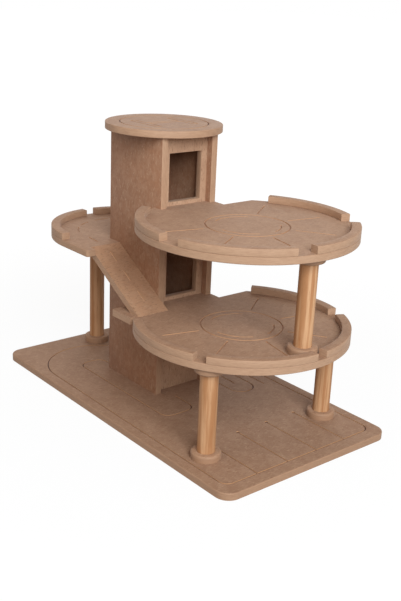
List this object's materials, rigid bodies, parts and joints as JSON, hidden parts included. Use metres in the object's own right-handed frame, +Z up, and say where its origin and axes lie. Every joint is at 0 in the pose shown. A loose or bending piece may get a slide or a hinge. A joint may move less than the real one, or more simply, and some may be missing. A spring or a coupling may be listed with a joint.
{
  "type": "toy parking garage",
  "caption": "Wooden toy parking garage: base with engraved roads, square lift tower, two round decks, half deck, ramp, dowel columns, kerb rails and a crank-driven lift car.",
  "frame": {"origin": "centre of the base board's underside", "axes": "+X towards the round decks, away from the half deck; +Y away from the ramp; +Z up"},
  "size_m": [0.55, 0.302, 0.405],
  "materials": {
    "fibre_board": "bare medium-density fibre board, cut edges a little lighter",
    "dowel_wood": "bare sanded hardwood with fine lengthwise grain",
    "screw_steel": "zinc-plated",
    "eye_brass": "brass-plated wire"
  },
  "bodies": {
    "garage": {"base_board": "fibre_board", "base_screws": "screw_steel", "tower_wall_near": "fibre_board", "tower_wall_far": "fibre_board", "tower_front_panel": "fibre_board", "tower_back_panel": "fibre_board", "roof_disc": "fibre_board", "lower_deck": "fibre_board", "upper_deck": "fibre_board", "half_deck": "fibre_board", "ramp": "fibre_board", "column_pins": "dowel_wood", "lower_curb_near": "fibre_board", "lower_curb_front": "fibre_board", "lower_curb_side": "fibre_board", "lower_curb_far": "fibre_board", "upper_curb_near": "fibre_board", "upper_curb_front": "fibre_board", "upper_curb_side": "fibre_board", "upper_curb_far": "fibre_board", "half_deck_curb_near": "fibre_board", "half_deck_curb_far": "fibre_board", "front_column": "dowel_wood", "front_column_foot_ring": "fibre_board", "front_column_top_ring": "fibre_board", "side_column": "dowel_wood", "side_column_foot_ring": "fibre_board", "side_column_top_ring": "fibre_board", "upper_column": "dowel_wood", "upper_column_foot_ring": "fibre_board", "upper_column_top_ring": "fibre_board", "half_deck_column": "dowel_wood", "half_deck_column_foot_ring": "fibre_board", "half_deck_column_top_ring": "fibre_board"},
    "lift_car": {"lift_car_floor": "fibre_board", "lift_car_wall_near": "fibre_board", "lift_car_wall_far": "fibre_board", "lift_car_roof": "fibre_board", "lift_cord_eye": "eye_brass"},
    "crank": {"crank_axle": "dowel_wood", "cord_drum": "dowel_wood", "crank_arm": "fibre_board", "crank_knob_pin": "dowel_wood", "crank_knob": "dowel_wood"}
  },
  "joints": [
    {"name": "lift_slide", "type": "slide", "parent": "garage", "child": "lift_car", "axis": [0, 0, 1], "range_m": [0, 0.284]},
    {"name": "crank_turn", "type": "hinge", "parent": "garage", "child": "crank", "pos_m": [-0.115, 0, 0.3835], "axis": [1, 0, 0], "range_deg": [0, 2036]}
  ],
  "couplings": [
    {"joint": "crank_turn", "follows": "lift_slide", "rad_per_m": 125}
  ]
}
